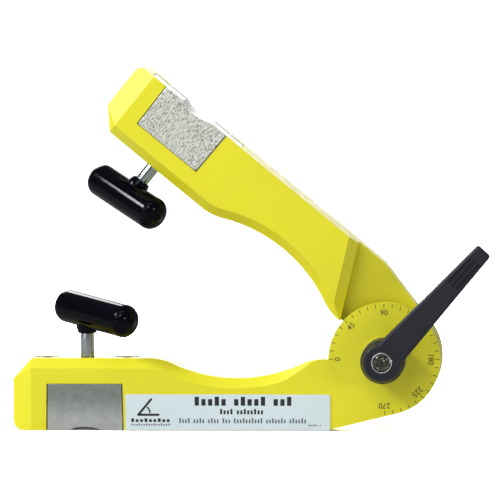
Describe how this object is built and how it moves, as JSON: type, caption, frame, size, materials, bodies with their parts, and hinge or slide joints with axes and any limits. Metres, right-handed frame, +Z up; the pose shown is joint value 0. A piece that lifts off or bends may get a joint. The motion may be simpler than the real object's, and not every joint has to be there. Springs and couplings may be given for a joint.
{
  "type": "welding magnet holder",
  "caption": "Adjustable-angle welding holder: hinged cast arms with a protractor dial, a switchable magnet with a T handle in each arm and a clamp lever on the pivot.",
  "frame": {"origin": "on the lower arm's outer (magnet) face, in the middle of its thickness, 100 mm from the pivot's axis", "axes": "+Z up from the face that the tool stands on, +X along the lower arm towards the pivot, -Y towards the side with the dial and the clamp lever"},
  "size_m": [0.28, 0.074, 0.211],
  "materials": {
    "yellow_paint": "satin",
    "pole_steel": "satin",
    "bare_aluminium": "satin",
    "magnet_plating": "satin",
    "zinc_steel": "satin",
    "spring_steel": "satin",
    "bronze": "satin",
    "black_gloss": "gloss",
    "charcoal_plastic": "satin",
    "friction_lining": "matte",
    "label_vinyl": "satin"
  },
  "bodies": {
    "lower_arm": {"lower_arm_casting": "yellow_paint", "lower_front_pole_shoe": "pole_steel", "lower_rear_pole_shoe": "pole_steel", "lower_magnet_housing": "bare_aluminium", "lower_fixed_magnet": "magnet_plating", "lower_stem_bushing": "bronze", "lower_near_retaining_screw": "zinc_steel", "lower_far_retaining_screw": "zinc_steel", "front_label": "label_vinyl", "pivot_bolt": "zinc_steel", "friction_washer": "friction_lining", "thrust_washer": "zinc_steel"},
    "upper_arm": {"upper_arm_casting": "yellow_paint", "upper_front_pole_shoe": "pole_steel", "upper_rear_pole_shoe": "pole_steel", "upper_magnet_housing": "bare_aluminium", "upper_fixed_magnet": "magnet_plating", "upper_stem_bushing": "bronze", "upper_near_retaining_screw": "zinc_steel", "upper_far_retaining_screw": "zinc_steel", "rear_washer": "zinc_steel"},
    "lower_handle": {"lower_rotor_magnet": "magnet_plating", "lower_drive_hub": "bare_aluminium", "lower_stem": "zinc_steel", "lower_t_handle": "black_gloss", "lower_handle_set_screw": "zinc_steel"},
    "upper_handle": {"upper_rotor_magnet": "magnet_plating", "upper_drive_hub": "bare_aluminium", "upper_stem": "zinc_steel", "upper_t_handle": "black_gloss", "upper_handle_set_screw": "zinc_steel"},
    "clamp_nut": {"clamp_insert": "zinc_steel", "lever_screw": "zinc_steel", "lever_spring": "spring_steel"},
    "lever": {"clamp_lever": "charcoal_plastic"}
  },
  "joints": [
    {"name": "arm_opening", "type": "hinge", "parent": "lower_arm", "child": "upper_arm", "pos_m": [0.1, 0, 0.042], "axis": [0, 1, 0], "range_deg": [-9.6, 230.4]},
    {"name": "lower_switch", "type": "hinge", "parent": "lower_arm", "child": "lower_handle", "pos_m": [-0.0748, 0, 0.042], "axis": [0, 0, 1], "range_deg": [-145, 35]},
    {"name": "upper_switch", "type": "hinge", "parent": "upper_arm", "child": "upper_handle", "pos_m": [-0.03469, 0, 0.15342], "axis": [-0.6374, 0, -0.7705], "range_deg": [-35, 145]},
    {"name": "clamp_turn", "type": "hinge", "parent": "lower_arm", "child": "clamp_nut", "pos_m": [0.1, 0, 0.042], "axis": [0, -1, 0], "range_deg": [0, 180]},
    {"name": "lever_lift", "type": "slide", "parent": "clamp_nut", "child": "lever", "axis": [0, -1, 0], "range_m": [0, 0.004], "stiffness_N_per_m": 1200, "springref_m": -0.004, "deforming": ["lever_spring"]}
  ]
}
